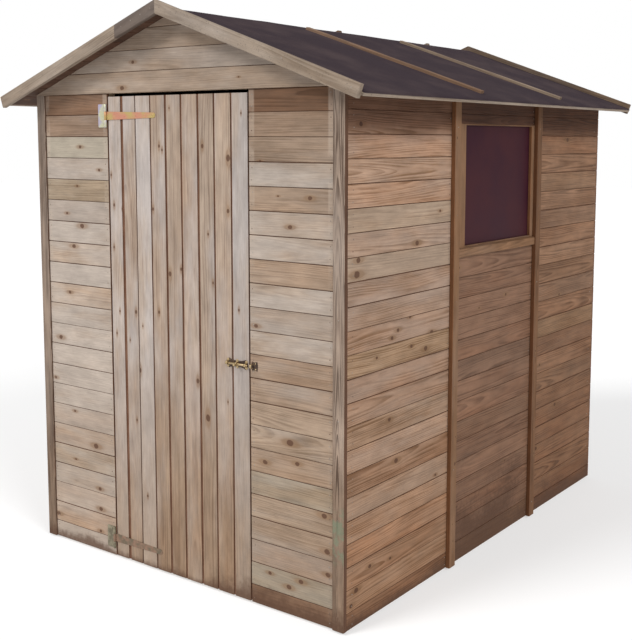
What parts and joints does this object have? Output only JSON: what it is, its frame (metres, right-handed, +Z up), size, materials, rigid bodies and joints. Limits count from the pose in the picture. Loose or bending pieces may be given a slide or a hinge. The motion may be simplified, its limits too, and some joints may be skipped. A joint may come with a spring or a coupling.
{
  "type": "garden shed",
  "caption": "Small wooden garden shed with a felted apex roof, a boarded door in the front gable end and a fixed window in one side.",
  "frame": {"origin": "on the ground under the middle of the four walls", "axes": "+X to the right along the front gable end, +Y from the door to the back, +Z up"},
  "size_m": [1.733, 2.21, 2.0983],
  "materials": {
    "cladding_front": "matte",
    "cladding_side": "matte",
    "trim": "matte",
    "batten": "matte",
    "glass": "glossy",
    "framing": "matte",
    "felt": "matte",
    "felt_batten": "matte",
    "bargeboard": "matte",
    "bargeboard_dark": "matte",
    "door": "matte",
    "zinc": "satin",
    "old_zinc": "matte",
    "brass": "satin"
  },
  "bodies": {
    "shed": {"front_wall_left": "cladding_front", "front_wall_right": "cladding_front", "front_gable": "cladding_front", "rear_wall": "cladding_side", "right_wall_front": "cladding_side", "right_wall_below_window": "cladding_side", "right_wall_above_window": "cladding_side", "right_wall_rear": "cladding_side", "left_wall_front": "cladding_side", "left_wall_middle": "cladding_side", "left_wall_rear": "cladding_side", "corner_trim_left": "trim", "corner_trim_right": "trim", "side_batten_right_front": "batten", "side_batten_right_rear": "batten", "side_batten_left_front": "batten", "side_batten_left_rear": "batten", "window_frame": "batten", "window_sill": "batten", "window_pane": "glass", "floor": "framing", "front_frame": "framing", "rear_frame": "framing", "left_frame": "framing", "right_frame": "framing", "roof_boards_left": "framing", "roof_boards_right": "framing", "roof_felt": "felt", "felt_batten_right_front": "felt_batten", "felt_batten_right_rear": "felt_batten", "felt_batten_left_front": "felt_batten", "felt_batten_left_rear": "felt_batten", "bargeboard_rear_right": "felt_batten", "bargeboard_rear_left": "felt_batten", "bargeboard_front_right": "bargeboard", "bargeboard_front_left_lower": "bargeboard", "eave_strip_right": "bargeboard", "eave_strip_left": "bargeboard", "bargeboard_front_left_upper": "bargeboard_dark", "hinge_plate_top": "zinc", "hinge_plate_bottom": "old_zinc", "bolt_keeper": "brass"},
    "door": {"door_leaf": "door", "door_ledges": "framing", "hinge_strap_top": "zinc", "hinge_strap_bottom": "old_zinc", "bolt_plate": "brass"},
    "bolt": {"bolt_rod": "brass"}
  },
  "joints": [
    {"name": "door_hinge", "type": "hinge", "parent": "shed", "child": "door", "pos_m": [-0.3515, -1.012, 0.9], "axis": [0, 0, -1], "range_deg": [0, 150]},
    {"name": "bolt_slide", "type": "slide", "parent": "door", "child": "bolt", "axis": [1, 0, 0], "range_m": [0, 0.024]}
  ]
}
